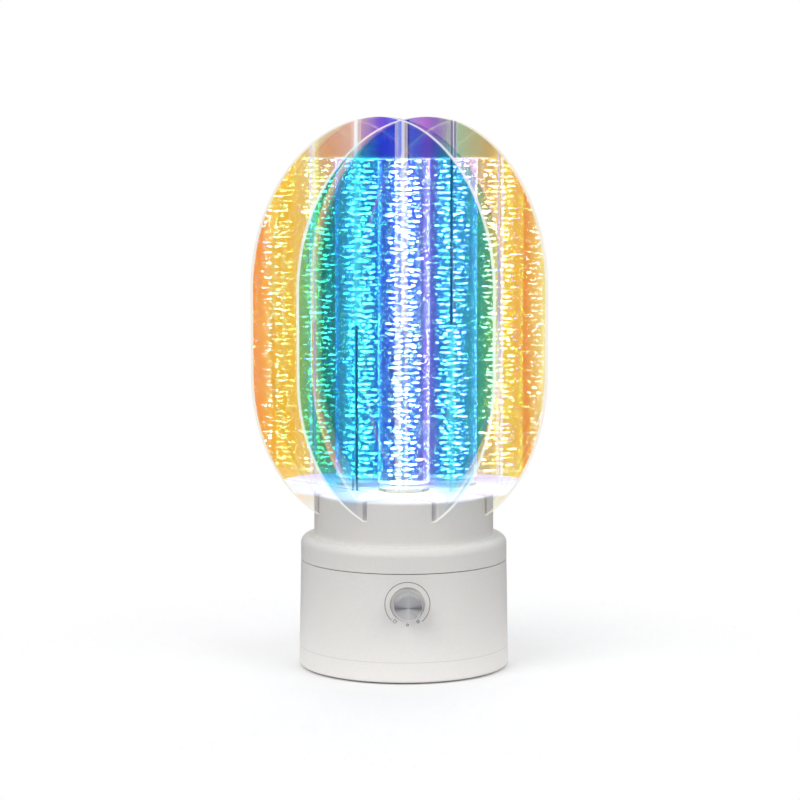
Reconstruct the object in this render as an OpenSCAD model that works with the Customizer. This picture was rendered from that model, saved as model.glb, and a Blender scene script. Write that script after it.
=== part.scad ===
// Cordless night light: a white drum base with a dimmer knob, and a head of four clear
// oval panels, cross-lapped in a square grid round one lit bubble rod.
// Millimetres. The origin is on the table under the lamp's axis, +Z is up, the knob faces -Y.

/* [Base] */
// Diameter of the base at the seam under the shoulder
base_top_d = 100; // [94:1:120]
// How far the base's lower edge stands out past its upper seam
base_taper = 1; // [0:0.1:3]
// Height of the bottom cover
bottom_cover_h = 9.7; // [8:0.1:14]
// Height of the base shell between its two seams
shell_h = 42.2; // [40:0.1:60]
// Wall thickness of the mouldings
wall = 2.5; // [1.8:0.1:3]
// Thickness of the bottom cover's floor
floor_t = 3; // [2.4:0.1:4]
// Radius of the lower outer edge
foot_edge_r = 1.5; // [0.5:0.1:2]
// Width and depth of the shadow line at the upper seam
seam_gap = 0.4; // [0.2:0.1:0.8]

/* [Shoulder and neck] */
// Height from the upper seam to the shoulder's flat top
shoulder_h = 11.4; // [9:0.1:16]
// Radius of the shoulder's edge
shoulder_r = 4; // [1:0.5:6]
// Width of the step from the base's upper edge in to the neck
shoulder_w = 6.5; // [5:0.1:8]
// Height of the neck above the shoulder
neck_h = 21.2; // [19:0.1:30]
// Chamfer round the neck's rim
rim_chamfer = 0.6; // [0.3:0.1:1.2]
// Thickness of the deck on top of the neck
deck_t = 3; // [2:0.1:4]
// Depth of the panel grooves below the deck
groove_depth = 9.5; // [7:0.1:12]
// Thickness of the groove walls under the deck
trough_wall = 1.8; // [1.2:0.1:2.4]

/* [Panels] */
// Thickness of one clear panel
panel_t = 2; // [1.5:0.1:3]
// Width of one panel
panel_w = 161; // [120:1:180]
// Height of the straight stretch between the two half rounds
panel_straight = 40; // [20:1:60]
// Distance between the mid planes of two parallel panels
panel_pitch = 33.6; // [30:0.2:40]
// Angle of the first pair of panels from +X, in degrees
head_turn = 40; // [0:1:90]
// Gap at each side of a panel in its groove and its cross-lap
panel_gap = 0.15; // [0.1:0.05:0.3]

/* [Rod] */
// Diameter of the bubble rod
rod_d = 25; // [16:0.5:26]
// Length of the bubble rod
rod_l = 156.4; // [100:0.1:165]
// Chamfer at the rod's two ends
rod_chamfer = 0.4; // [0.2:0.1:1]
// Width of the rod's largest bubbles
bubble_w = 4.2; // [2:0.1:5]
// Height of the rod's largest bubbles
bubble_h = 1.2; // [0.8:0.1:1.5]
// Height from one bubble to the next
bubble_pitch = 1.7; // [1.6:0.1:4]
// Clear skin between the bubbles and the rod's faces
bubble_skin = 1; // [0.6:0.1:2]
// Height of the clear seat between the deck and the rod
seat_h = 4.4; // [2:0.1:8]
// Diameter of the seat's stem, through the deck
stem_d = 18; // [10:0.5:20]

/* [Lamp] */
// Diameter of the board that carries the lamp chip
led_board_d = 60; // [58:1:70]
// Thickness of the circuit boards
board_t = 1.6; // [1:0.1:2]
// Width of the lamp chip
chip_w = 7; // [3:0.5:9]
// Height of the lamp chip
chip_h = 1.4; // [0.8:0.1:1.5]
// Thickness of the aluminium plate behind the lamp board
heat_plate_t = 2; // [1:0.5:3]
// Radius of the circle of the four board screws
board_screw_ring = 26; // [24:0.5:26]

/* [Dimmer] */
// Height of the knob's axis above the table
knob_z = 38.2; // [36:0.1:42]
// Diameter of the knob
knob_d = 12.8; // [10:0.1:16]
// How far the knob stands out of the base
knob_proud = 10; // [6:0.5:14]
// Chamfer at the knob's front edge
knob_chamfer = 0.6; // [0.3:0.1:1]
// Width of the gap between the knob and its recess
recess_gap = 1.8; // [0.5:0.1:3]
// Depth of the recess round the knob
recess_depth = 1.6; // [1:0.1:2]
// Diameter of the dimmer's shaft
shaft_d = 6; // [4:0.5:6.5]
// Full turn of the knob, in degrees
knob_travel = 280; // [240:5:300]
// Side of the dimmer's square housing
dimmer_w = 11; // [10:0.5:14]
// Depth of the dimmer's housing
dimmer_depth = 6.8; // [6:0.1:8]

/* [Power] */
// Diameter of the battery cell
cell_d = 18.4; // [14:0.1:19]
// Length of the battery cell
cell_l = 65; // [50:1:66]
// Place of the cell's axis in front of the lamp's axis
cell_y = -9; // [-12:0.5:-9]
// Thickness of the steel ballast plate
ballast_t = 4; // [2:0.5:5]
// Gap between the ballast plate and the bosses of the cover screws
ballast_gap = 0.8; // [0.5:0.1:4]
// Width of the driver board
driver_w = 34; // [28:1:34]
// Depth of the driver board
driver_l = 30; // [26:1:31]
// Height of the driver board's posts above the floor
driver_post_h = 11.7; // [11:0.1:16]
// Width of the charging socket
socket_w = 8.9; // [7:0.1:9.5]
// Height of the charging socket
socket_h = 3.3; // [2.5:0.1:4]
// Margin of the port in the shell round the socket
port_margin = 2; // [1.5:0.1:2.5]

/* [Fastenings] */
// Diameter of the cover screws
cover_screw_d = 3; // [2.5:0.1:3.5]
// Diameter of the small board screws
small_screw_d = 2.2; // [2:0.1:2.5]
// Distance of the cover screws from the edge of the base
cover_screw_inset = 8; // [7.5:0.1:9]
// Thickness of the foot pad
pad_t = 1.6; // [1.2:0.1:3]
// Distance of the foot pad from the edge of the base
pad_inset = 5; // [4:0.1:5.5]

/* [Hidden] */
$fn = 96;

// Clearances: a fixed piece in its hole, a turning shaft, and a cut past a face
fit_gap = 0.2;
screw_gap = 0.05;
running_gap = 0.05;
free_gap = 0.3;
past = 1;

// Heights of the seams and faces, from the table up
pad_proud = pad_t / 2;
z_floor = pad_proud + floor_t;
z_low_seam = pad_proud + bottom_cover_h;
z_high_seam = z_low_seam + shell_h;
z_shoulder = z_high_seam + shoulder_h;
z_deck = z_shoulder + neck_h;
z_deck_under = z_deck - deck_t;
z_groove = z_deck - groove_depth;
z_trough_under = z_groove - trough_wall;
z_board_under = z_trough_under - board_t;
z_plate_under = z_board_under - heat_plate_t;
z_chip_top = z_trough_under + chip_h;
z_rod = z_deck + seat_h;

// Outer radii of the base, the neck and the foot pad
top_r = base_top_d / 2;
foot_r = top_r + base_taper;
neck_r = top_r - shoulder_w;
neck_inner_r = neck_r - wall;
pad_r = foot_r - pad_inset;
cover_screw_ring = top_r - cover_screw_inset;
function base_r(z) = foot_r + (top_r - foot_r) * (z - pad_proud) / (z_high_seam - pad_proud);

// Lips that register the covers in the shell
lip_h = 3.4;
lip_t = 1.6;

// Panels: the lower arc meets the neck's wall at the floor of the groove
panel_r = panel_w / 2;
panel_foot_half = sqrt(pow(neck_r, 2) - pow(panel_pitch / 2, 2));
z_low_arc = z_groove + sqrt(pow(panel_r, 2) - pow(panel_foot_half, 2));
z_high_arc = z_low_arc + panel_straight;
z_panel_top = z_high_arc + panel_r;
z_lap = (z_low_arc + z_high_arc) / 2;
slot_w = panel_t + 2 * panel_gap;

// Bubbles wind up the rod by the golden angle, and their sizes and places step by unlike shares
golden_angle = 137.508;
bubble_w_step = 0.7549;
bubble_place_step = 0.5698;
bubble_reach = rod_d / 2 - bubble_skin - bubble_w / 2;
bubble_count = floor((rod_l - 2 * bubble_skin) / bubble_pitch);
function part_of_one(x) = x - floor(x);

// Screws: heads and pilot holes
cover_head_d = cover_screw_d * 1.9;
cover_head_h = cover_screw_d * 0.65;
cover_boss_d = cover_head_d + 2.6;
cover_bore_depth = 6;
cover_bite = 12;
small_head_d = small_screw_d * 1.9;
small_head_h = small_screw_d * 0.7;
small_boss_d = small_screw_d + 3.4;
small_bite = 5;
tip_gap = 1;

// Shell: ledge that carries the top cover, pillars that take the cover screws
z_ledge = z_high_seam - 2.7;
ledge_t = 2.5;
ledge_w = 10;
z_pillar = z_low_seam + lip_h + 0.1;
pillar_h = 20;
web_t = 2;
cover_screw_angles = [45, 135, 225, 315];
shell_screw_angles = [90, 210, 330];

// Dimmer: places along -Y, from the shell's face inwards
shell_face_r = base_r(knob_z);
y_recess = -(shell_face_r - recess_depth);
y_knob_face = -(shell_face_r + knob_proud);
recess_d = knob_d + 2 * recess_gap;
knob_floor_t = 3;
y_shaft_tip = y_knob_face + knob_floor_t;
recess_floor_t = 2;
pad_inner_d = recess_d + 4;
y_pad = y_recess + recess_floor_t;
y_housing = y_pad + 3.5;
y_dimmer_board = y_housing + dimmer_depth;
dimmer_board_w = 34;
dimmer_board_h = 13;
dimmer_screw_x = 13.5;
rotor_d = dimmer_w - 3;
rotor_t = 2;
housing_front_t = 1.6;
flat_depth = 1.2;
flat_l = y_recess - free_gap - y_shaft_tip;
pointer_w = 0.9;
pointer_depth = 0.35;
// The knob rests at its full stop, half of the dead arc to the right of straight down
pointer_angle = (360 - knob_travel) / 2;

// Battery holder: a cradle with a contact leaf at each end of the cell, on the ballast plate
holder_wall = 1.6;
holder_side_h = cell_d * 0.72;
holder_notch_d = cell_d * 0.98;
leaf_t = 0.4;
leaf_w = cell_d * 0.7;
ballast_r = cover_screw_ring - cover_boss_d / 2 - ballast_gap;
z_ballast_top = z_floor + ballast_t;
z_cell = z_ballast_top + holder_wall + fit_gap + cell_d / 2;
holder_l = cell_l + 2 * leaf_t + 2 * holder_wall;
holder_w = cell_d + 2 * fit_gap + 2 * holder_wall;
holder_screw_x = cell_l / 4;
ballast_flat_y = cell_y + holder_w / 2 + 1.5;

// Driver board: at the back, with the charging socket over its rear edge
z_driver_under = z_floor + driver_post_h;
z_driver_top = z_driver_under + board_t;
z_socket = z_driver_top + socket_h / 2;
y_socket_face = base_r(z_socket) - wall - 1.8;
socket_l = 7.3;
y_driver_back = y_socket_face - 2;
y_driver_front = y_driver_back - driver_l;
driver_screw_inset = 3;
socket_skin = 0.4;
tongue_t = 0.7;
port_w = socket_w + 2 * port_margin;
port_h = socket_h + 2 * port_margin;

// Parts on the driver board: coil, chips, capacitors and lead connectors
part_gap = 1.2;
coil_w = 7;
coil_h = 4;
driver_chip_w = 5;
driver_chip_h = 1.2;
sensor_chip_w = 3;
capacitor_d = 5;
capacitor_h = 7;
lead_block_w = 7;
lead_block_l = 5;
lead_block_wall = 1;

// Cylinder with one chamfered end, standing on z = 0
module chamfered_cylinder(r, h, chamfer) {
    cylinder(r = r, h = h - chamfer);
    translate([0, 0, h - chamfer]) cylinder(r1 = r, r2 = r - chamfer, h = chamfer);
}

// Half outline of a drum from z0 to z1 whose upper outer edge is round
module drum_outline(r, z0, z1, edge_r) {
    translate([0, z0]) square([r - edge_r, z1 - z0]);
    translate([0, z0]) square([r, z1 - z0 - edge_r]);
    translate([r - edge_r, z1 - edge_r]) circle(r = edge_r, $fn = 48);
}

// Screw that points up, with its head under z = 0
module screw(d, length, head_d, head_h) {
    cylinder(d = d, h = length);
    translate([0, 0, -head_h]) cylinder(d = head_d, h = head_h);
}

// Copies of a child on a circle
module ring_of(radius, angles) {
    for (angle = angles) rotate([0, 0, angle]) translate([radius, 0, 0]) children();
}

// Places of the board screws, in the quiet cells between the panels
module at_led_screws() {
    rotate([0, 0, head_turn]) ring_of(board_screw_ring, [0, 90, 180, 270]) children();
}

module at_driver_screws() {
    for (x = [-1, 1], y = [y_driver_front + driver_screw_inset, y_driver_back - driver_screw_inset])
        translate([x * (driver_w / 2 - driver_screw_inset), y, 0]) children();
}

module at_holder_screws() {
    for (x = [-1, 1]) translate([x * holder_screw_x, cell_y, 0]) children();
}

module at_dimmer_screws() {
    for (x = [-1, 1]) translate([x * dimmer_screw_x, 0, knob_z]) children();
}

// Soft pad under the whole base, which also hides the cover screws
module foot_pad() {
    color("dimgray") cylinder(r = pad_r, h = pad_t);
}

// Tapered ring between two heights of the base's outer face, reduced by an inset
module base_cone(z0, z1, inset) {
    translate([0, 0, z0]) cylinder(r1 = base_r(z0) - inset, r2 = base_r(z1) - inset, h = z1 - z0);
}

module bottom_cover_outline() {
    edge_z = pad_proud + foot_edge_r;
    difference() {
        union() {
            base_cone(edge_z, z_low_seam, 0);
            translate([0, 0, pad_proud])
                cylinder(r = base_r(edge_z) - foot_edge_r, h = foot_edge_r + past);
            translate([0, 0, edge_z]) rotate_extrude()
                translate([base_r(edge_z) - foot_edge_r, 0]) intersection() {
                    circle(r = foot_edge_r, $fn = 48);
                    translate([-foot_edge_r, -foot_edge_r]) square([2 * foot_edge_r, foot_edge_r]);
                }
            // Register lip, which stands up into the shell
            translate([0, 0, z_low_seam - past])
                cylinder(r = base_r(z_low_seam) - wall - fit_gap, h = lip_h + past);
        }
        translate([0, 0, z_floor])
            cylinder(r = base_r(z_low_seam) - wall - fit_gap - lip_t, h = bottom_cover_h + lip_h + past);
        // Recess for the foot pad
        translate([0, 0, -past]) cylinder(r = pad_r + fit_gap, h = pad_t + past);
    }
}

module bottom_cover() {
    color("whitesmoke") difference() {
        union() {
            bottom_cover_outline();
            ring_of(cover_screw_ring, cover_screw_angles)
                translate([0, 0, pad_t]) cylinder(d = cover_boss_d, h = z_pillar - pad_t);
            at_driver_screws() translate([0, 0, pad_t])
                cylinder(d = small_boss_d, h = z_driver_under - pad_t);
        }
        ring_of(cover_screw_ring, cover_screw_angles) {
            cylinder(d = cover_screw_d + 2 * fit_gap, h = z_pillar + past);
            cylinder(d = cover_head_d + 2 * fit_gap, h = cover_bore_depth);
        }
        at_driver_screws() translate([0, 0, z_driver_under - small_bite])
            cylinder(d = small_screw_d + 2 * screw_gap, h = small_bite + past);
        at_holder_screws() {
            cylinder(d = small_screw_d + 2 * fit_gap, h = z_floor + past);
            cylinder(d = small_head_d + 2 * fit_gap, h = pad_t + small_head_h);
        }
    }
}

module cover_screws() {
    color("silver") ring_of(cover_screw_ring, cover_screw_angles)
        translate([0, 0, cover_bore_depth])
            screw(cover_screw_d, z_pillar - cover_bore_depth + cover_bite - tip_gap,
                cover_head_d, cover_head_h);
}

// Steel plate that steadies the tall head
module ballast_plate() {
    color("slategray") difference() {
        translate([0, 0, z_floor]) cylinder(r = ballast_r, h = ballast_t);
        translate([-ballast_r, ballast_flat_y, z_floor - past])
            cube([2 * ballast_r, ballast_r, ballast_t + 2 * past]);
        at_holder_screws() translate([0, 0, z_floor - past])
            cylinder(d = small_screw_d + 2 * fit_gap, h = ballast_t + 2 * past);
    }
}

module battery_holder() {
    color("dimgray") difference() {
        translate([-holder_l / 2, cell_y - holder_w / 2, z_ballast_top])
            cube([holder_l, holder_w, holder_wall + fit_gap + holder_side_h]);
        // Bed of the cell, open at the top
        translate([-cell_l / 2 - leaf_t, cell_y, z_cell]) rotate([0, 90, 0])
            cylinder(d = cell_d + 2 * fit_gap, h = cell_l + 2 * leaf_t);
        translate([-cell_l / 2 - leaf_t, cell_y - cell_d / 2 - fit_gap, z_cell])
            cube([cell_l + 2 * leaf_t, cell_d + 2 * fit_gap, cell_d]);
        // Finger notch in both long walls
        translate([0, cell_y - holder_w, z_cell + holder_wall]) rotate([-90, 0, 0])
            cylinder(d = holder_notch_d, h = 2 * holder_w);
        at_holder_screws() translate([0, 0, z_ballast_top - past])
            cylinder(d = small_screw_d + 2 * screw_gap, h = past + 2 * holder_wall + fit_gap);
    }
}

module holder_screws() {
    z_head = pad_t + small_head_h;
    color("silver") at_holder_screws() translate([0, 0, z_head])
        screw(small_screw_d, z_ballast_top + holder_wall - fit_gap - z_head, small_head_d, small_head_h);
}

// Spring leaves between the holder's end walls and the cell
module battery_contacts() {
    color("gold") for (side = [-1, 1])
        translate([side * (cell_l + leaf_t) / 2 - leaf_t / 2, cell_y - leaf_w / 2, z_cell - leaf_w / 2])
            cube([leaf_t, leaf_w, leaf_w + holder_wall]);
}

module battery_cell() {
    color("royalblue") translate([-cell_l / 2, cell_y, z_cell]) rotate([0, 90, 0])
        cylinder(d = cell_d, h = cell_l);
}

module driver_board() {
    color("seagreen") difference() {
        translate([-driver_w / 2, y_driver_front, z_driver_under]) cube([driver_w, driver_l, board_t]);
        at_driver_screws() translate([0, 0, z_driver_under - past])
            cylinder(d = small_screw_d + 2 * fit_gap, h = board_t + 2 * past);
    }
}

// Coil, chips, capacitors and lead connectors on the driver board
module driver_parts() {
    x_coil = -driver_w / 2 + part_gap;
    x_chip = x_coil + coil_w + part_gap;
    x_capacitor = driver_w / 2 - part_gap - capacitor_d / 2;
    translate([0, (y_driver_front + y_driver_back) / 2, z_driver_top]) {
        color("black") {
            translate([x_coil, -coil_w / 2, 0]) cube([coil_w, coil_w, coil_h]);
            translate([x_chip, -driver_chip_w / 2, 0]) cube([driver_chip_w, driver_chip_w, driver_chip_h]);
            translate([x_chip, driver_chip_w / 2 + part_gap, 0])
                cube([sensor_chip_w, sensor_chip_w, driver_chip_h]);
        }
        color("silver") for (x = [x_capacitor, x_capacitor - capacitor_d - part_gap])
            translate([x, 0, 0]) cylinder(d = capacitor_d, h = capacitor_h);
    }
    color("white") translate([0, y_driver_front + part_gap, z_driver_top])
        for (x = [-lead_block_w - part_gap / 2, part_gap / 2]) translate([x, 0, 0]) difference() {
            cube([lead_block_w, lead_block_l, lead_block_l]);
            translate([lead_block_wall, lead_block_wall, lead_block_wall])
                cube([lead_block_w - 2 * lead_block_wall, lead_block_l - 2 * lead_block_wall, lead_block_l]);
        }
}

module driver_screws() {
    color("silver") at_driver_screws() translate([0, 0, z_driver_top]) mirror([0, 0, 1])
        screw(small_screw_d, board_t + small_bite - tip_gap, small_head_d, small_head_h);
}

// Metal shell of the charging socket, with its tongue
module charge_socket() {
    color("silver") translate([0, y_socket_face, z_socket]) rotate([90, 0, 0]) {
        difference() {
            socket_block(socket_w, socket_h, socket_l);
            translate([0, 0, -past])
                socket_block(socket_w - 2 * socket_skin, socket_h - 2 * socket_skin, socket_l);
        }
        translate([-socket_w / 4, -tongue_t / 2, tongue_t])
            cube([socket_w / 2, tongue_t, socket_l - tongue_t]);
    }
}

// Bar with round sides, along +Z from z = 0
module socket_block(w, h, l) {
    translate([-(w - h) / 2, -h / 2, 0]) cube([w - h, h, l]);
    for (side = [-1, 1]) translate([side * (w - h) / 2, 0, 0]) cylinder(d = h, h = l);
}

// Pillar for a cover screw, with the web that joins it to the wall
module shell_pillar() {
    translate([0, 0, z_pillar]) cylinder(d = cover_boss_d - 1.2, h = pillar_h);
    translate([0, -web_t / 2, z_pillar + 0.5])
        cube([base_r(z_pillar) - wall / 2 - cover_screw_ring, web_t, pillar_h - 0.5]);
}

module base_shell() {
    color("whitesmoke") difference() {
        union() {
            difference() {
                base_cone(z_low_seam, z_high_seam - seam_gap, 0);
                translate([0, 0, z_low_seam - past])
                    cylinder(r1 = base_r(z_low_seam) - wall, r2 = top_r - wall, h = shell_h + 2 * past);
            }
            // Ledge under the top cover
            translate([0, 0, z_ledge - ledge_t]) difference() {
                cylinder(r = top_r - wall / 2, h = ledge_t);
                translate([0, 0, -past]) cylinder(r = top_r - wall - ledge_w, h = ledge_t + 2 * past);
            }
            ring_of(cover_screw_ring, cover_screw_angles) shell_pillar();
            intersection() {
                base_cone(z_low_seam, z_high_seam, wall / 2);
                union() {
                    // Flat pad behind the knob's recess
                    translate([0, y_pad, knob_z]) rotate([90, 0, 0]) cylinder(d = pad_inner_d, h = foot_r);
                    // Bosses of the dimmer board
                    at_dimmer_screws() translate([0, y_dimmer_board, 0]) rotate([90, 0, 0])
                        cylinder(d = small_boss_d, h = foot_r);
                }
            }
        }
        ring_of(cover_screw_ring, cover_screw_angles)
            translate([0, 0, z_pillar - past])
                cylinder(d = cover_screw_d + 2 * screw_gap, h = cover_bite + past);
        ring_of(cover_screw_ring, shell_screw_angles)
            translate([0, 0, z_ledge - ledge_t - past])
                cylinder(d = cover_screw_d + 2 * fit_gap, h = ledge_t + 2 * past);
        // Recess round the knob, and the hole for its shaft
        translate([0, y_recess, knob_z]) rotate([90, 0, 0]) cylinder(d = recess_d, h = foot_r);
        translate([0, y_pad + past, knob_z]) rotate([90, 0, 0])
            cylinder(d = shaft_d + 2 * free_gap, h = recess_floor_t + 2 * past);
        at_dimmer_screws() translate([0, y_dimmer_board + past, 0]) rotate([90, 0, 0])
            cylinder(d = small_screw_d + 2 * screw_gap, h = small_bite + past);
        // Port for the charging plug
        translate([0, foot_r + past, z_socket]) rotate([90, 0, 0])
            socket_block(port_w, port_h, 2 * (wall + past));
    }
}

module shell_screws() {
    color("silver") ring_of(cover_screw_ring, shell_screw_angles) translate([0, 0, z_ledge - ledge_t])
        screw(cover_screw_d, ledge_t + small_bite, cover_head_d, cover_head_h);
}

module dimmer_board() {
    color("seagreen") difference() {
        translate([-dimmer_board_w / 2, y_dimmer_board, knob_z - dimmer_board_h / 2])
            cube([dimmer_board_w, board_t, dimmer_board_h]);
        at_dimmer_screws() translate([0, y_dimmer_board + board_t + past, 0]) rotate([90, 0, 0])
            cylinder(d = small_screw_d + 2 * fit_gap, h = board_t + 2 * past);
    }
}

module dimmer_screws() {
    color("silver") at_dimmer_screws() translate([0, y_dimmer_board + board_t, 0]) rotate([90, 0, 0])
        screw(small_screw_d, board_t + small_bite - tip_gap, small_head_d, small_head_h);
}

// Housing with a chamber for the rotor and a bearing bore towards the knob
module dimmer_housing() {
    color("slategray") difference() {
        translate([-dimmer_w / 2, y_housing, knob_z - dimmer_w / 2]) cube([dimmer_w, dimmer_depth, dimmer_w]);
        translate([0, y_housing + past, knob_z]) rotate([90, 0, 0])
            cylinder(d = shaft_d + 2 * running_gap, h = 2 * past);
        translate([0, y_housing + housing_front_t, knob_z]) rotate([90, 0, 0])
            cylinder(d = shaft_d + 2 * running_gap, h = housing_front_t + past);
        translate([0, y_housing + housing_front_t + rotor_t + 2 * free_gap, knob_z]) rotate([90, 0, 0])
            cylinder(d = rotor_d + 2 * free_gap, h = rotor_t + 2 * free_gap);
    }
}

// Shaft with its rotor disc, and a flat that drives the knob
module dimmer_shaft() {
    y_rotor_back = y_housing + housing_front_t + free_gap + rotor_t;
    shaft_l = y_rotor_back - y_shaft_tip;
    color("silver") translate([0, y_rotor_back, knob_z]) rotate([90, 0, 0]) {
        difference() {
            chamfered_cylinder(shaft_d / 2, shaft_l, rod_chamfer);
            rotate([0, 0, pointer_angle]) translate([-shaft_d, shaft_d / 2 - flat_depth, shaft_l - flat_l])
                cube([2 * shaft_d, shaft_d, flat_l + past]);
        }
        cylinder(d = rotor_d, h = rotor_t);
    }
}

// Turned metal knob with a pointer groove from its centre to its rim
module knob() {
    y_back = y_recess - free_gap;
    knob_l = y_back - y_knob_face;
    color("silver") translate([0, y_back, knob_z]) rotate([90, 0, 0]) rotate([0, 0, pointer_angle])
        difference() {
            chamfered_cylinder(knob_d / 2, knob_l, knob_chamfer);
            // Bore with a flat, for the shaft
            difference() {
                translate([0, 0, -past])
                    cylinder(d = shaft_d + 2 * running_gap, h = knob_l - knob_floor_t + past + running_gap);
                translate([-shaft_d, shaft_d / 2 - flat_depth + running_gap, -2 * past])
                    cube([2 * shaft_d, shaft_d, knob_l]);
            }
            translate([-pointer_w / 2, -knob_d, knob_l - pointer_depth])
                cube([pointer_w, knob_d - 2, pointer_depth + past]);
        }
}

// Walls of the four panel grooves, hung under the deck
module groove_walls() {
    trough_w = slot_w + 2 * trough_wall;
    intersection() {
        translate([0, 0, z_trough_under])
            cylinder(r = neck_r - wall / 2, h = z_deck_under - z_trough_under + past);
        rotate([0, 0, head_turn]) for (turn = [0, 90], side = [-1, 1])
            rotate([0, 0, turn]) translate([-neck_r, side * panel_pitch / 2 - trough_w / 2, z_trough_under])
                cube([2 * neck_r, trough_w, z_deck - z_trough_under]);
    }
}

module groove_cuts() {
    rotate([0, 0, head_turn]) for (turn = [0, 90], side = [-1, 1])
        rotate([0, 0, turn]) translate([-neck_r - past, side * panel_pitch / 2 - slot_w / 2, z_groove])
            cube([2 * (neck_r + past), slot_w, groove_depth + past]);
}

// Shoulder and neck in one moulding, with the four grooves cut across the deck and the rim
module top_cover() {
    inner_r = top_r - wall;
    z_lip = z_ledge + free_gap;
    color("whitesmoke") difference() {
        union() {
            difference() {
                union() {
                    rotate_extrude() drum_outline(top_r, z_high_seam, z_shoulder, shoulder_r);
                    translate([0, 0, z_shoulder - shoulder_r])
                        chamfered_cylinder(neck_r, neck_h + shoulder_r, rim_chamfer);
                }
                translate([0, 0, z_high_seam - past]) cylinder(r = inner_r, h = shoulder_h - wall + past);
                translate([0, 0, z_high_seam]) cylinder(r = neck_inner_r, h = z_deck_under - z_high_seam);
            }
            groove_walls();
            // Register lip, which stands down into the shell, just clear of its ledge
            difference() {
                union() {
                    translate([0, 0, z_lip]) cylinder(r = inner_r - fit_gap, h = z_high_seam - z_lip + lip_h);
                    translate([0, 0, z_high_seam]) cylinder(r = inner_r + wall / 2, h = lip_h);
                }
                translate([0, 0, z_ledge - past])
                    cylinder(r = inner_r - fit_gap - lip_t, h = shoulder_h + 2 * past);
            }
            ring_of(cover_screw_ring, shell_screw_angles)
                translate([0, 0, z_ledge]) cylinder(d = cover_boss_d, h = z_shoulder - wall / 2 - z_ledge);
            at_led_screws() translate([0, 0, z_trough_under])
                cylinder(d = small_boss_d, h = z_deck_under - z_trough_under + past);
        }
        groove_cuts();
        ring_of(cover_screw_ring, shell_screw_angles) translate([0, 0, z_ledge - past])
            cylinder(d = cover_screw_d + 2 * screw_gap, h = small_bite + tip_gap + past);
        at_led_screws() translate([0, 0, z_trough_under - past])
            cylinder(d = small_screw_d + 2 * screw_gap, h = small_bite + past);
        // Hole for the stem of the rod's seat
        translate([0, 0, z_trough_under - past]) cylinder(d = stem_d + 2 * fit_gap, h = z_deck);
    }
}

module heat_plate() {
    color("lightgray") difference() {
        translate([0, 0, z_plate_under]) cylinder(d = led_board_d + 4, h = heat_plate_t);
        at_led_screws() translate([0, 0, z_plate_under - past])
            cylinder(d = small_screw_d + 2 * fit_gap, h = heat_plate_t + 2 * past);
    }
}

module led_board() {
    color("white") difference() {
        translate([0, 0, z_board_under]) cylinder(d = led_board_d, h = board_t);
        at_led_screws() translate([0, 0, z_board_under - past])
            cylinder(d = small_screw_d + 2 * fit_gap, h = board_t + 2 * past);
    }
}

module led_chip() {
    color("khaki") rotate([0, 0, head_turn]) translate([-chip_w / 2, -chip_w / 2, z_trough_under])
        cube([chip_w, chip_w, chip_h]);
}

module led_screws() {
    color("silver") at_led_screws() translate([0, 0, z_plate_under])
        screw(small_screw_d, board_t + heat_plate_t + small_bite - tip_gap, small_head_d, small_head_h);
}

// Clear seat that carries the rod and leads the light up into it
module rod_seat() {
    stem_l = z_deck - z_chip_top - free_gap;
    color("aliceblue") {
        translate([0, 0, z_deck]) cylinder(d = rod_d, h = seat_h);
        translate([0, 0, z_deck - stem_l]) cylinder(d = stem_d, h = stem_l + seat_h / 2);
    }
}

// Flat bubble with a round edge
module bubble(w, h) {
    rotate_extrude() {
        translate([0, -h / 2]) square([(w - h) / 2, h]);
        translate([(w - h) / 2, 0]) intersection() {
            circle(d = h, $fn = 24);
            translate([0, -h]) square(2 * h);
        }
    }
}

// Clear rod whose bubbles catch the light from below: every fifth one is near the axis
module bubble_rod() {
    color("lightskyblue", 0.6) difference() {
        translate([0, 0, z_rod + rod_chamfer]) {
            chamfered_cylinder(rod_d / 2, rod_l - rod_chamfer, rod_chamfer);
            mirror([0, 0, 1]) chamfered_cylinder(rod_d / 2, rod_chamfer, rod_chamfer);
        }
        for (i = [1 : bubble_count]) {
            share = (1 + part_of_one(i * bubble_w_step)) / 2;
            far_out = (1 + part_of_one(i * bubble_place_step)) / 2;
            place = bubble_reach * (i % 5 == 0 ? 0.1 : far_out);
            rotate([0, 0, i * golden_angle]) translate([place, 0, z_rod + bubble_skin / 2 + bubble_pitch * i])
                bubble(share * bubble_w, share * bubble_h);
        }
    }
}

// One clear panel in the XZ plane: two half rounds, a straight stretch and a flat foot.
// Its two cross-lap slots run from the edge given, 1 for the top and -1 for the foot, to mid height.
module panel(slot_edge) {
    slot_from = slot_edge > 0 ? z_lap : z_groove - past;
    slot_to = slot_edge > 0 ? z_panel_top : z_lap + fit_gap;
    difference() {
        union() {
            for (z = [z_low_arc, z_high_arc])
                translate([0, panel_t / 2, z]) rotate([90, 0, 0])
                    cylinder(r = panel_r, h = panel_t, $fn = 180);
            translate([-panel_r, -panel_t / 2, z_low_arc]) cube([panel_w, panel_t, panel_straight]);
        }
        translate([-panel_r, -panel_t, z_low_arc - panel_r - past])
            cube([panel_w, 2 * panel_t, z_groove - z_low_arc + panel_r + past]);
        for (side = [-1, 1])
            translate([side * panel_pitch / 2 - slot_w / 2, -panel_t, slot_from])
                cube([slot_w, 2 * panel_t, slot_to - slot_from]);
    }
}

// Panel of one pair: turn is 0 for the first pair and 90 for the second
module placed_panel(turn, side, slot_edge) {
    color("lightcyan", 0.4) rotate([0, 0, head_turn + turn]) translate([0, side * panel_pitch / 2, 0])
        panel(slot_edge);
}

module panel_a_front() { placed_panel(0, -1, -1); }
module panel_a_rear() { placed_panel(0, 1, -1); }
module panel_b_front() { placed_panel(90, 1, 1); }
module panel_b_rear() { placed_panel(90, -1, 1); }

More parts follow.
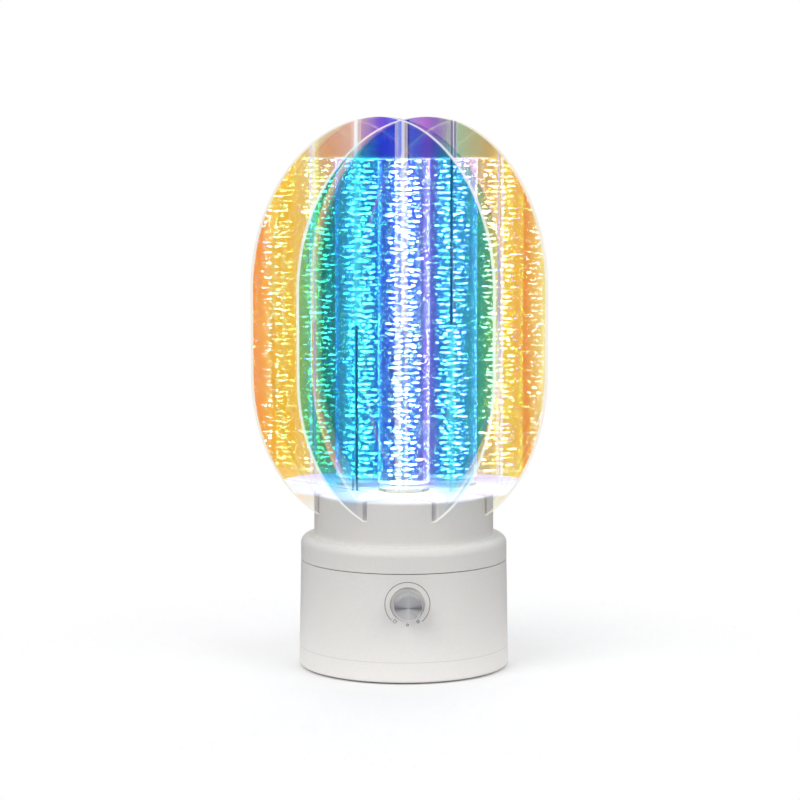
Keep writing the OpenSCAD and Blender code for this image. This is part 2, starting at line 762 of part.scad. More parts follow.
foot_pad();
bottom_cover();
cover_screws();
ballast_plate();
battery_holder();
battery_contacts();
battery_cell();
holder_screws();
driver_board();
driver_parts();
driver_screws();
charge_socket();
base_shell();
shell_screws();
dimmer_board();
dimmer_housing();
dimmer_screws();
dimmer_shaft();
knob();
top_cover();
heat_plate();
led_board();
led_chip();
led_screws();
rod_seat();
bubble_rod();
panel_a_front();
panel_a_rear();
panel_b_front();
panel_b_rear();
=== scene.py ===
import math
import random

import bmesh
import bpy
from mathutils import Matrix, Vector


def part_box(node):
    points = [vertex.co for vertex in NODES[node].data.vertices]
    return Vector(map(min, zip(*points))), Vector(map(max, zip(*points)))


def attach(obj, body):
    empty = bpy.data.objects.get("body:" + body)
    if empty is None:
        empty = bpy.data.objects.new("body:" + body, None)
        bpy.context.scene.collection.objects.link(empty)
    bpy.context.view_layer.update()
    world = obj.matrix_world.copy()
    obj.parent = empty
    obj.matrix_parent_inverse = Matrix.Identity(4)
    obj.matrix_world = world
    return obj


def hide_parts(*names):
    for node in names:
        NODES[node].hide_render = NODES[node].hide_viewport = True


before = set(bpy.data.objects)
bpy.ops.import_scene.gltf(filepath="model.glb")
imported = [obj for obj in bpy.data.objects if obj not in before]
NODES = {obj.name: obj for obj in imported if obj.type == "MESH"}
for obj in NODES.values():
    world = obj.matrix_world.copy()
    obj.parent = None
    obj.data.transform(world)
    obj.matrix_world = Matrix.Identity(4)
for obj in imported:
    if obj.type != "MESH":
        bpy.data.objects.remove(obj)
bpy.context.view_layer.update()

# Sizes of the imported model
MM = 0.001
HEAD_TURN = math.radians(40)
PITCH = 33.6 * MM
PANEL_T = 2 * MM
PANEL_R = 80.5 * MM
PANEL_STRAIGHT = 40 * MM
PANEL_GAP = 0.15 * MM
LAP_GAP = 0.2 * MM
ROD_R = 12.5 * MM
DECK_Z = 85.3 * MM
KNOB_Z = 38.2 * MM
FOOT_R, FOOT_Z = 51 * MM, 0.8 * MM
SEAM_R, SEAM_Z = 50 * MM, 52.7 * MM
LOW_SEAM_Z = 10.5 * MM

panel_lo, panel_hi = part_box("panel_a_front")
GROOVE_Z = panel_lo[2]
PANEL_TOP = panel_hi[2]
HIGH_ARC_Z = PANEL_TOP - PANEL_R
LOW_ARC_Z = HIGH_ARC_Z - PANEL_STRAIGHT
LAP_Z = (LOW_ARC_Z + HIGH_ARC_Z) / 2
rod_lo, rod_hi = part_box("bubble_rod")
ROD_FOOT, ROD_TOP = rod_lo[2], rod_hi[2]


# Nodes

def new_material(name):
    """An empty material, its node tree and its output node."""
    mat = bpy.data.materials.new(name)
    mat.use_nodes = True
    nt = mat.node_tree
    nt.nodes.clear()
    return mat, nt, nt.nodes.new("ShaderNodeOutputMaterial")


def node(nt, kind, **values):
    """A new node. Each value sets the node's property of that name, or else its input."""
    n = nt.nodes.new(kind)
    for key, value in values.items():
        if hasattr(n, key):
            setattr(n, key, value)
        else:
            n.inputs[key.replace("_", " ")].default_value = value
    return n


def first_of(nt, kind):
    return next(n for n in nt.nodes if n.type == kind)


def link(nt, a, out, b, into):
    nt.links.new(a.outputs[out], b.inputs[into])


def ramp(nt, stops):
    """A colour ramp with linear-light stops [(place, (r, g, b)), ...]."""
    n = nt.nodes.new("ShaderNodeValToRGB")
    elements = n.color_ramp.elements
    while len(elements) > 1:
        elements.remove(elements[-1])
    for i, (place, rgb) in enumerate(stops):
        e = elements[0] if i == 0 else elements.new(place)
        e.position = place
        e.color = (*rgb, 1)
    return n


def bump(nt, shader, noise, strength, distance):
    b = node(nt, "ShaderNodeBump", Strength=strength, Distance=distance)
    link(nt, noise, "Fac", b, "Height")
    link(nt, b, "Normal", shader, "Normal")


def mix_shaders(nt, first, second):
    mixed = nt.nodes.new("ShaderNodeMixShader")
    link(nt, first, 0, mixed, 1)
    link(nt, second, 0, mixed, 2)
    return mixed


def directly_seen(nt, paths):
    """1 for camera rays and for rays that come through clear pieces, else 0."""
    direct = node(nt, "ShaderNodeMath", operation="MAXIMUM")
    link(nt, paths, "Is Camera Ray", direct, 0)
    link(nt, paths, "Is Transmission Ray", direct, 1)
    return direct


# Materials

GRAIN_DETAIL = 3.0
GRAIN_SPAN = (0.3, 0.7)
GRAIN_BUMP = 0.3
COLOUR_VARY = 0.03
ROUGH_VARY = 0.06


def surface(name, colour, roughness, grain=400, depth=0.02 * MM, metallic=0.0):
    """A Principled material with a fine grain in colour, roughness and height."""
    mat, nt, out = new_material(name)
    shader = node(nt, "ShaderNodeBsdfPrincipled", Metallic=metallic)
    coords = nt.nodes.new("ShaderNodeTexCoord")
    noise = node(nt, "ShaderNodeTexNoise", Scale=grain, Detail=GRAIN_DETAIL)
    link(nt, coords, "Object", noise, "Vector")
    low = tuple(c * (1 - COLOUR_VARY) for c in colour)
    tone = ramp(nt, zip(GRAIN_SPAN, (low, colour)))
    link(nt, noise, "Fac", tone, "Fac")
    link(nt, tone, "Color", shader, "Base Color")
    smoothest, roughest = max(roughness - ROUGH_VARY, 0), min(roughness + ROUGH_VARY, 1)
    span = node(nt, "ShaderNodeMapRange", To_Min=smoothest, To_Max=roughest)
    link(nt, noise, "Fac", span, "Value")
    link(nt, span, "Result", shader, "Roughness")
    bump(nt, shader, noise, GRAIN_BUMP, depth)
    link(nt, shader, "BSDF", out, "Surface")
    return mat


# Light that each film lets through, from the cool end of its panel to the warm end.
# The rest is mirrored.
FRONT_COOL_END = [
    (0.00, (0.36, 0.95, 0.97)),
    (0.07, (0.12, 0.76, 0.96)),
    (0.15, (0.10, 0.60, 0.84)),
]
FRONT_WARM_END = [
    (0.625, (0.90, 0.80, 0.80)),
    (0.75, (1.00, 0.60, 0.40)),
    (0.85, (1.00, 0.90, 0.80)),
    (1.00, (1.00, 0.95, 0.60)),
]
FRONT_A_FILM = FRONT_COOL_END + [
    (0.30, (0.10, 0.72, 0.95)),
    (0.38, (0.26, 0.42, 0.97)),
    (0.48, (0.72, 0.40, 0.90)),
    (0.54, (0.45, 0.30, 0.85)),
] + FRONT_WARM_END
FRONT_B_FILM = FRONT_COOL_END + [
    (0.23, (0.10, 0.68, 0.90)),
    (0.29, (0.45, 0.50, 0.95)),
    (0.34, (0.20, 0.60, 0.96)),
    (0.40, (0.26, 0.42, 0.97)),
    (0.50, (0.30, 0.25, 0.84)),
] + FRONT_WARM_END
REAR_A_FILM = [
    (0.00, (0.80, 0.95, 1.00)),
    (0.15, (0.15, 0.85, 0.95)),
    (0.30, (0.70, 0.85, 0.95)),
    (0.50, (0.60, 0.30, 0.90)),
    (0.625, (0.85, 0.55, 0.45)),
    (0.75, (0.72, 0.58, 0.38)),
    (0.85, (0.95, 0.56, 0.06)),
    (0.92, (0.95, 0.45, 0.03)),
    (1.00, (0.95, 0.28, 0.01)),
]
REAR_B_FILM = [
    (0.00, (0.05, 0.65, 0.95)),
    (0.15, (0.25, 0.90, 0.95)),
    (0.30, (0.30, 0.80, 0.95)),
    (0.50, (0.75, 0.45, 0.75)),
    (0.625, (0.42, 0.66, 0.42)),
    (0.75, (0.58, 0.68, 0.42)),
    (0.85, (0.88, 0.62, 0.05)),
    (0.92, (0.90, 0.28, 0.03)),
    (1.00, (0.92, 0.80, 0.30)),
]
# How far the colours wander along the panel, and the size of that pattern
FILM_WOBBLE = 0.03
WOBBLE_SCALE, WOBBLE_DETAIL = 14.0, 2.0
FILM_MIRROR = 0.95
# Heights between which a film's colour comes in over the pale glow painted on its foot, where the
# deck's light falls on it
FRONT_FOOT = (80 * MM, 101 * MM)
REAR_FOOT = (72 * MM, 90 * MM)
PAINTED_FOOT_GLOW = (0.93, 0.91, 0.96)


def film_material(name, through_stops, foot):
    """Colour film: it lets one colour through and mirrors the rest, along the panel."""
    mat, nt, out = new_material(name)
    uv = node(nt, "ShaderNodeUVMap", uv_map="along")
    split = nt.nodes.new("ShaderNodeSeparateXYZ")
    link(nt, uv, "UV", split, "Vector")
    coords = nt.nodes.new("ShaderNodeTexCoord")
    noise = node(nt, "ShaderNodeTexNoise", Scale=WOBBLE_SCALE, Detail=WOBBLE_DETAIL)
    link(nt, coords, "Object", noise, "Vector")
    wobble = node(nt, "ShaderNodeMapRange", To_Min=-FILM_WOBBLE, To_Max=FILM_WOBBLE)
    link(nt, noise, "Fac", wobble, "Value")
    place = node(nt, "ShaderNodeMath", operation="ADD")
    link(nt, split, "X", place, 0)
    link(nt, wobble, "Result", place, 1)
    tint = ramp(nt, through_stops)
    link(nt, place, "Value", tint, "Fac")
    # Painted light: near its foot the film takes the pale glow of the deck's light instead of its own
    # colour
    heights = nt.nodes.new("ShaderNodeSeparateXYZ")
    link(nt, coords, "Object", heights, "Vector")
    above = node(nt, "ShaderNodeMapRange", interpolation_type="SMOOTHSTEP",
                 From_Min=foot[0], From_Max=foot[1])
    link(nt, heights, "Z", above, "Value")
    faded = nt.nodes.new("ShaderNodeMixRGB")
    faded.inputs[1].default_value = (*PAINTED_FOOT_GLOW, 1)
    link(nt, above, "Result", faded, 0)
    link(nt, tint, "Color", faded, 2)
    rest = node(nt, "ShaderNodeVectorMath", operation="SUBTRACT")
    rest.inputs[0].default_value = (1, 1, 1)
    link(nt, faded, "Color", rest, 1)
    mirrored = node(nt, "ShaderNodeVectorMath", operation="SCALE", Scale=FILM_MIRROR)
    link(nt, rest, "Vector", mirrored, 0)
    through = nt.nodes.new("ShaderNodeBsdfTransparent")
    mirror = node(nt, "ShaderNodeBsdfAnisotropic", Roughness=0.0)
    link(nt, faded, "Color", through, "Color")
    link(nt, mirrored, "Vector", mirror, "Color")
    both = nt.nodes.new("ShaderNodeAddShader")
    link(nt, through, "BSDF", both, 0)
    link(nt, mirror, "BSDF", both, 1)
    link(nt, both, "Shader", out, "Surface")
    return mat


PANE_TINT = (0.985, 0.995, 0.99)
PANE_ROUGHNESS = 0.02
# Share of light that a clear face mirrors when seen straight on, and how late it grows
STRAIGHT_GLOSS = 0.04
GLOSS_POWER = 5.0


def pane_material():
    """The bare face of a panel: clear, with a faint gloss."""
    mat, nt, out = new_material("clear_face")
    through = node(nt, "ShaderNodeBsdfTransparent", Color=(*PANE_TINT, 1))
    gloss = node(nt, "ShaderNodeBsdfAnisotropic", Roughness=PANE_ROUGHNESS)
    facing = node(nt, "ShaderNodeLayerWeight", Blend=0.5)
    steep = node(nt, "ShaderNodeMath", operation="POWER")
    steep.inputs[1].default_value = GLOSS_POWER
    link(nt, facing, "Facing", steep, 0)
    share = node(nt, "ShaderNodeMapRange", To_Min=STRAIGHT_GLOSS, To_Max=1.0)
    link(nt, steep, "Value", share, "Value")
    mixed = mix_shaders(nt, through, gloss)
    link(nt, share, "Result", mixed, 0)
    link(nt, mixed, "Shader", out, "Surface")
    return mat


def line_material(name, colour, strength, solid):
    """A thin line of painted glow or painted shade, such as a panel's edge, partly see-through."""
    mat, nt, out = new_material(name)
    through = node(nt, "ShaderNodeBsdfTransparent", Color=(1, 1, 1, 1))
    light = node(nt, "ShaderNodeEmission", Color=(*colour, 1), Strength=strength)
    mixed = mix_shaders(nt, through, light)
    mixed.inputs[0].default_value = solid
    link(nt, mixed, "Shader", out, "Surface")
    mat.cycles.emission_sampling = "NONE"
    return mat


BUBBLE_LIGHT = (0.93, 0.98, 1.0)
BUBBLE_POWER = (14.0, 64.0)


def bubble_material():
    """Light of the bubbles, each of its own strength."""
    mat, nt, out = new_material("bubble")
    geometry = nt.nodes.new("ShaderNodeNewGeometry")
    power = node(nt, "ShaderNodeMapRange", To_Min=BUBBLE_POWER[0], To_Max=BUBBLE_POWER[1])
    link(nt, geometry, "Random Per Island", power, "Value")
    light = node(nt, "ShaderNodeEmission", Color=(*BUBBLE_LIGHT, 1))
    link(nt, power, "Result", light, "Strength")
    link(nt, light, "Emission", out, "Surface")
    mat.cycles.emission_sampling = "NONE"
    return mat


GLASS_IOR = 1.47


def glass_material(name, colour, roughness):
    mat, nt, out = new_material(name)
    shader = node(nt, "ShaderNodeBsdfPrincipled", Roughness=roughness, IOR=GLASS_IOR,
                  Base_Color=(*colour, 1), Transmission_Weight=1.0)
    link(nt, shader, "BSDF", out, "Surface")
    return mat


# The rod's own glow where its face is seen straight on and at its silhouette
ROD_GLOW = (0.12, 1.6)
ROD_GLOW_FROM = 0.6


def rod_material():
    """Clear glass with a faint glow that grows towards the rod's silhouette."""
    mat = glass_material("rod_glass", (0.97, 0.99, 1.0), 0.0)
    nt = mat.node_tree
    shader = first_of(nt, "BSDF_PRINCIPLED")
    shader.inputs["Emission Color"].default_value = (1, 1, 1, 1)
    facing = node(nt, "ShaderNodeLayerWeight", Blend=0.5)
    power = node(nt, "ShaderNodeMapRange", From_Min=ROD_GLOW_FROM, From_Max=1.0,
                 To_Min=ROD_GLOW[0], To_Max=ROD_GLOW[1])
    link(nt, facing, "Facing", power, "Value")
    link(nt, power, "Result", shader, "Emission Strength")
    mat.cycles.emission_sampling = "NONE"
    return mat


def chip_material():
    """The light chip's yellow face, which shines by itself."""
    mat, nt, out = new_material("chip_yellow")
    shader = node(nt, "ShaderNodeBsdfPrincipled", Roughness=0.3, Base_Color=(0.85, 0.75, 0.2, 1),
                  Emission_Color=(1.0, 0.95, 0.8, 1), Emission_Strength=2.0)
    link(nt, shader, "BSDF", out, "Surface")
    mat.cycles.emission_sampling = "NONE"
    return mat


# Painted reflection on the knob's face round its axis, from the left side downwards: bright sectors
# for its highlights and dark ones for the dark band across it
KNOB_PAINTED_SHEEN = [
    (0.00, (0.22, 0.22, 0.24)),
    (0.06, (0.62, 0.62, 0.64)),
    (0.25, (0.80, 0.80, 0.81)),
    (0.44, (0.62, 0.62, 0.64)),
    (0.50, (0.22, 0.22, 0.24)),
    (0.56, (0.52, 0.52, 0.54)),
    (0.75, (0.66, 0.66, 0.68)),
    (0.94, (0.52, 0.52, 0.54)),
    (1.00, (0.22, 0.22, 0.24)),
]
KNOB_METALLIC, KNOB_ROUGHNESS = 0.35, 0.32
STREAK_SCALE, STREAK_DETAIL = 60.0, 3.0
STREAK_TONE = (0.86, 1.1)
RING_SCALE, RING_DETAIL = 2500.0, 2.0
RING_BUMP, RING_DEPTH = 0.25, 0.02 * MM


def brushed_metal_painted_sheen():
    """Turned aluminium round the knob's axis: streaks from the centre over fine rings, on a painted
    reflection of bright and dark sectors.
    """
    mat, nt, out = new_material("knob_metal")
    shader = node(nt, "ShaderNodeBsdfPrincipled", Metallic=KNOB_METALLIC, Roughness=KNOB_ROUGHNESS)
    coords = nt.nodes.new("ShaderNodeTexCoord")
    split = nt.nodes.new("ShaderNodeSeparateXYZ")
    link(nt, coords, "Object", split, "Vector")
    height = node(nt, "ShaderNodeMath", operation="SUBTRACT")
    height.inputs[1].default_value = KNOB_Z
    link(nt, split, "Z", height, 0)
    angle = node(nt, "ShaderNodeMath", operation="ARCTAN2")
    link(nt, height, "Value", angle, 0)
    link(nt, split, "X", angle, 1)
    share = node(nt, "ShaderNodeMapRange", From_Min=-math.pi, From_Max=math.pi)
    link(nt, angle, "Value", share, "Value")
    # Painted highlights and dark band of the knob's face, by angle round its axis
    painted_sheen = ramp(nt, KNOB_PAINTED_SHEEN)
    link(nt, share, "Result", painted_sheen, "Fac")
    streaks = node(nt, "ShaderNodeTexNoise", noise_dimensions="1D", Scale=STREAK_SCALE,
                   Detail=STREAK_DETAIL)
    link(nt, share, "Result", streaks, "W")
    tone = node(nt, "ShaderNodeMapRange", To_Min=STREAK_TONE[0], To_Max=STREAK_TONE[1])
    link(nt, streaks, "Fac", tone, "Value")
    colour = node(nt, "ShaderNodeVectorMath", operation="SCALE")
    link(nt, painted_sheen, "Color", colour, 0)
    link(nt, tone, "Result", colour, "Scale")
    link(nt, colour, "Vector", shader, "Base Color")
    flat = nt.nodes.new("ShaderNodeCombineXYZ")
    link(nt, split, "X", flat, "X")
    link(nt, height, "Value", flat, "Z")
    radius = node(nt, "ShaderNodeVectorMath", operation="LENGTH")
    link(nt, flat, "Vector", radius, 0)
    rings = node(nt, "ShaderNodeTexNoise", noise_dimensions="1D", Scale=RING_SCALE,
                 Detail=RING_DETAIL)
    link(nt, radius, "Value", rings, "W")
    bump(nt, shader, rings, RING_BUMP, RING_DEPTH)
    link(nt, shader, "BSDF", out, "Surface")
    return mat


WHITE = (0.81, 0.785, 0.76)


def moulding(name):
    return surface(name, WHITE, 0.5, grain=900, depth=0.01 * MM)


# The low seam: half of its width where it is darkest and where it ends, and how dark it is
SEAM_CORE, SEAM_END = 0.05 * MM, 0.3 * MM
SEAM_SHADE = 0.84


def shell_material():
    """White moulding with the shallow line where bottom cover and shell meet."""
    mat = moulding("white_moulding")
    nt = mat.node_tree
    split = nt.nodes.new("ShaderNodeSeparateXYZ")
    link(nt, first_of(nt, "TEX_COORD"), "Object", split, "Vector")
    off = node(nt, "ShaderNodeMath", operation="SUBTRACT")
    off.inputs[1].default_value = LOW_SEAM_Z
    link(nt, split, "Z", off, 0)
    far = node(nt, "ShaderNodeMath", operation="ABSOLUTE")
    link(nt, off, "Value", far, 0)
    line = node(nt, "ShaderNodeMapRange", From_Min=SEAM_CORE, From_Max=SEAM_END,
                To_Min=SEAM_SHADE, To_Max=1.0)
    link(nt, far, "Value", line, "Value")
    shaded = node(nt, "ShaderNodeVectorMath", operation="SCALE")
    link(nt, first_of(nt, "VALTORGB"), "Color", shaded, 0)
    link(nt, line, "Result", shaded, "Scale")
    link(nt, shaded, "Vector", first_of(nt, "BSDF_PRINCIPLED"), "Base Color")
    return mat


# The light that the rod throws on its deck: colour, strength, and the distances from the
# rod's foot between which it fades. It stays in a thin skin under the deck's top.
DECK_LIGHT = (0.88, 0.80, 1.0)
DECK_GLOW = 0.45
GLOW_NEAR, GLOW_FAR = 14 * MM, 75 * MM
SKIN_LOW, SKIN_HIGH = 1.5 * MM, 0.2 * MM


def cover_material():
    """White moulding whose deck is lit by the rod that stands on it."""
    mat = moulding("white_cover")
    nt = mat.node_tree
    shader = first_of(nt, "BSDF_PRINCIPLED")
    coords = first_of(nt, "TEX_COORD")
    off = node(nt, "ShaderNodeVectorMath", operation="SUBTRACT")
    off.inputs[1].default_value = (0, 0, DECK_Z)
    link(nt, coords, "Object", off, 0)
    far = node(nt, "ShaderNodeVectorMath", operation="LENGTH")
    link(nt, off, "Vector", far, 0)
    glow = node(nt, "ShaderNodeMapRange", interpolation_type="SMOOTHSTEP",
                From_Min=GLOW_NEAR, From_Max=GLOW_FAR, To_Min=DECK_GLOW, To_Max=0.0)
    link(nt, far, "Value", glow, "Value")
    split = nt.nodes.new("ShaderNodeSeparateXYZ")
    link(nt, coords, "Object", split, "Vector")
    level = node(nt, "ShaderNodeMapRange", From_Min=DECK_Z - SKIN_LOW, From_Max=DECK_Z - SKIN_HIGH)
    link(nt, split, "Z", level, "Value")
    on_deck = node(nt, "ShaderNodeMath", operation="MULTIPLY")
    link(nt, glow, "Result", on_deck, 0)
    link(nt, level, "Result", on_deck, 1)
    shader.inputs["Emission Color"].default_value = (*DECK_LIGHT, 1)
    link(nt, on_deck, "Value", shader, "Emission Strength")
    mat.cycles.emission_sampling = "NONE"
    return mat


white = shell_material()
cover = cover_material()
front_a_film = film_material("front_a_film", FRONT_A_FILM, FRONT_FOOT)
front_b_film = film_material("front_b_film", FRONT_B_FILM, FRONT_FOOT)
rear_a_film = film_material("rear_a_film", REAR_A_FILM, REAR_FOOT)
rear_b_film = film_material("rear_b_film", REAR_B_FILM, REAR_FOOT)
pane = pane_material()
# Painted glow on the panels' edges and on the walls of the front panels' slots
edge_glow = line_material("panel_edge", (1.0, 0.99, 0.95), 1.1, 0.6)
rear_edge_glow = line_material("rear_panel_edge", (0.90, 0.82, 0.70), 1.0, 0.7)
slot_glow = line_material("slot_bright", (0.93, 0.98, 1.0), 1.2, 0.5)
# Painted shade: the rear panels' slot walls drawn as a dark blue line
slot_painted_shade = line_material("slot_painted_shade", (0.01, 0.08, 0.18), 1.0, 0.7)
bubble = bubble_material()
rod_glass = rod_material()
# Painted glow on the rod's round rims and on its top face
rod_rim_glow = line_material("rod_rim_glow", (0.97, 0.99, 1.0), 4.0, 0.8)
rod_top_glow = line_material("rod_top_glow", (0.97, 0.99, 1.0), 1.5, 0.4)
seat_glass = glass_material("seat_glass", (0.95, 0.98, 1.0), 0.1)
ink = surface("ink", (0.22, 0.22, 0.225), 0.6, grain=3000, depth=0.005 * MM)
metal = brushed_metal_painted_sheen()

NODE_LOOKS = {
    "foot_pad": surface("pad_rubber", (0.09, 0.09, 0.09), 0.8, grain=700, depth=0.1 * MM),
    "bottom_cover": white,
    "base_shell": white,
    "top_cover": cover,
    "knob": metal,
    "rod_seat": seat_glass,
    "dimmer_shaft": surface("steel", (0.55, 0.55, 0.56), 0.3, metallic=1.0),
    "ballast_plate": surface("zinc", (0.45, 0.46, 0.47), 0.42, grain=300, metallic=1.0),
    "battery_contacts": surface("nickel", (0.66, 0.62, 0.54), 0.25, metallic=1.0),
    "battery_cell": surface("cell_wrap", (0.05, 0.16, 0.42), 0.35),
    "battery_holder": surface("black_plastic", (0.03, 0.03, 0.032), 0.5),
    "dimmer_housing": surface("dimmer_plastic", (0.02, 0.05, 0.12), 0.45),
    "driver_board": surface("board_green", (0.02, 0.16, 0.07), 0.4, grain=1500),
    "dimmer_board": surface("board_green_small", (0.02, 0.16, 0.07), 0.4, grain=1500),
    "driver_parts": surface("parts_black", (0.05, 0.05, 0.05), 0.45, grain=1500),
    "charge_socket": surface("socket_steel", (0.6, 0.6, 0.6), 0.28, metallic=1.0),
    "heat_plate": surface("aluminium", (0.7, 0.7, 0.71), 0.35, grain=500, metallic=1.0),
    "led_board": surface("board_white", (0.8, 0.8, 0.78), 0.4, grain=1500),
    "led_chip": chip_material(),
}
screw_steel = surface("screw_steel", (0.5, 0.5, 0.51), 0.32, grain=800, metallic=1.0)
for kind in ("cover", "holder", "driver", "shell", "dimmer", "led"):
    NODE_LOOKS[kind + "_screws"] = screw_steel

for name, mat in NODE_LOOKS.items():
    for material_slot in NODES[name].material_slots:
        material_slot.material = mat


# Meshes

def add_object(name, data):
    obj = bpy.data.objects.new(name, data)
    bpy.context.scene.collection.objects.link(obj)
    return obj


def add_mesh(name, bm, mats, sharp_deg=30):
    mesh = bpy.data.meshes.new(name)
    bm.normal_update()
    bm.to_mesh(mesh)
    bm.free()
    mesh.shade_smooth()
    mesh.set_sharp_from_angle(angle=math.radians(sharp_deg))
    for mat in mats:
        mesh.materials.append(mat)
    return add_object(name, mesh)


SLOT_HALF = PANEL_T / 2 + PANEL_GAP
ARC_STEP = math.radians(2)


def arc(centre_z, start, end):
    """Points of a panel's round edge, from one angle to another."""
    count = max(2, round(abs(end - start) / ARC_STEP))
    for i in range(count + 1):
        a = start + (end - start) * i / count
        yield PANEL_R * math.cos(a), centre_z + PANEL_R * math.sin(a)


def panel_outline(slot_edge):
    """(s, z) corners of a panel, anticlockwise from the left end of its foot.

    Its two slots run from the edge given, 1 for the top and -1 for the foot, to mid height.
    """
    foot_half = math.sqrt(PANEL_R ** 2 - (LOW_ARC_Z - GROOVE_Z) ** 2)
    foot_angle = math.atan2(GROOVE_Z - LOW_ARC_Z, foot_half)
    walls = [side * PITCH / 2 + wall * SLOT_HALF for side in (-1, 1) for wall in (-1, 1)]
    points = [(-foot_half, GROOVE_Z)]
    if slot_edge < 0:
        top = LAP_Z + LAP_GAP
        for left, right in (walls[:2], walls[2:]):
            points += [(left, GROOVE_Z), (left, top), (right, top), (right, GROOVE_Z)]
    points += list(arc(LOW_ARC_Z, foot_angle, 0))
    if slot_edge > 0:
        angles = [math.acos(w / PANEL_R) for w in walls]
        points += list(arc(HIGH_ARC_Z, 0, angles[3]))
        points += [(walls[3], LAP_Z), (walls[2], LAP_Z)]
        points += list(arc(HIGH_ARC_Z, angles[2], angles[1]))
        points += [(walls[1], LAP_Z), (walls[0], LAP_Z)]
        points += list(arc(HIGH_ARC_Z, angles[0], math.pi))
    else:
        points += list(arc(HIGH_ARC_Z, 0, math.pi))
    points += list(arc(LOW_ARC_Z, math.pi, math.pi - foot_angle))[:-1]
    return points


MERGE_DIST = 1e-7
EDGE_BEVEL = 0.15 * MM
PANEL_SHARP_DEG = 20
# Above this share a normal faces an axis, and below this one two faces stand square
FACING, SQUARE = 0.9, 0.5
# Half of the band that holds a slot
SLOT_BAND = 1.5 * MM
FILM_FACE, BARE_FACE, EDGE_FACE, SLOT_FACE = range(4)


def border_edges(bm):
    """Edges between a panel's two flat faces and its narrow walls."""
    found = []
    for e in bm.edges:
        if len(e.link_faces) == 2:
            one, other = (f.normal for f in e.link_faces)
            if abs(one.y) + abs(other.y) > SQUARE and abs(one.dot(other)) < SQUARE:
                found.append(e)
    return found


def make_panel(name, turn, side, slot_edge, warm_end, film, edge, slot_wall):
    """A clear panel with the film on the face that looks at the rod.

    side is the panel's side of the rod, and warm_end the warm end's along s, each -1 or 1.
    """
    bm = bmesh.new()
    outer = side * PANEL_T / 2
    rim = [bm.verts.new((s, -outer, z)) for s, z in panel_outline(slot_edge)]
    face = bm.faces.new(rim)
    grown = bmesh.ops.extrude_face_region(bm, geom=[face])
    moved = [v for v in grown["geom"] if isinstance(v, bmesh.types.BMVert)]
    bmesh.ops.translate(bm, verts=moved, vec=(0, 2 * outer, 0))
    bmesh.ops.recalc_face_normals(bm, faces=bm.faces)
    bmesh.ops.remove_doubles(bm, verts=bm.verts, dist=MERGE_DIST)
    bmesh.ops.bevel(bm, geom=border_edges(bm), offset=EDGE_BEVEL, segments=1, profile=0.5,
                    affect="EDGES")
    bm.normal_update()
    uv = bm.loops.layers.uv.new("along")
    for f in bm.faces:
        s = f.calc_center_median().x
        in_slot = abs(f.normal.x) > FACING and abs(abs(s) - PITCH / 2) < SLOT_BAND
        if abs(f.normal.y) > FACING:
            f.material_index = FILM_FACE if f.normal.y * side < 0 else BARE_FACE
        else:
            f.material_index = SLOT_FACE if in_slot else EDGE_FACE
        for loop in f.loops:
            v = loop.vert.co
            t = warm_end * v.x / PANEL_R
            loop[uv].uv = ((t + 1) / 2, (v.z - GROOVE_Z) / (PANEL_TOP - GROOVE_Z))
    shift = Matrix.Translation((0, side * PITCH / 2, 0))
    bm.transform(Matrix.Rotation(HEAD_TURN + turn, 4, "Z") @ shift)
    obj = add_mesh(name + "_look", bm, [film, pane, edge, slot_wall], PANEL_SHARP_DEG)
    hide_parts(name)
    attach(obj, "lamp")


QUARTER = math.pi / 2
make_panel("panel_a_front", 0, -1, -1, 1, front_a_film, edge_glow, slot_glow)
make_panel("panel_a_rear", 0, 1, -1, -1, rear_a_film, rear_edge_glow, slot_painted_shade)
make_panel("panel_b_front", QUARTER, 1, 1, 1, front_b_film, edge_glow, slot_glow)
make_panel("panel_b_rear", QUARTER, -1, 1, -1, rear_b_film, rear_edge_glow, slot_painted_shade)

LATHE_STEPS = 160
LATHE_SHARP_DEG = 35


def lathe(name, profile, mats):
    """A turned piece about the Z axis from (radius, z) corners, closed at both ends on the axis."""
    bm = bmesh.new()
    turns = [2 * math.pi * i / LATHE_STEPS for i in range(LATHE_STEPS)]
    rings = []
    for r, z in profile:
        if r == 0:
            rings.append([bm.verts.new((0, 0, z))])
        else:
            rings.append([bm.verts.new((r * math.cos(a), r * math.sin(a), z)) for a in turns])
    for low, high in zip(rings, rings[1:]):
        for i in range(LATHE_STEPS):
            j = (i + 1) % LATHE_STEPS
            corners = [low[i % len(low)], low[j % len(low)], high[j % len(high)], high[i % len(high)]]
            bm.faces.new(list(dict.fromkeys(corners)))
    bmesh.ops.recalc_face_normals(bm, faces=bm.faces)
    return add_mesh(name, bm, mats, LATHE_SHARP_DEG)


ROD_EDGE = 0.6 * MM
# Steepness of a face's normal from which it belongs to the rod's round edge, and to its ends
RIM_FROM, END_FROM = 0.1, 0.95
RIM_FACE, TOP_FACE = 1, 2


def rod_profile():
    """Rod outline with small round edges at its ends."""
    core = ROD_R - ROD_EDGE
    low, high = ROD_FOOT + ROD_EDGE, ROD_TOP - ROD_EDGE
    points = [(0, ROD_FOOT), (core, ROD_FOOT)]
    points += [(core + ROD_EDGE * math.sin(a), low - ROD_EDGE * math.cos(a))
               for a in (math.pi / 6, math.pi / 3, math.pi / 2)]
    points += [(core + ROD_EDGE * math.cos(a), high + ROD_EDGE * math.sin(a))
               for a in (0, math.pi / 6, math.pi / 3)]
    return points + [(core, ROD_TOP), (0, ROD_TOP)]


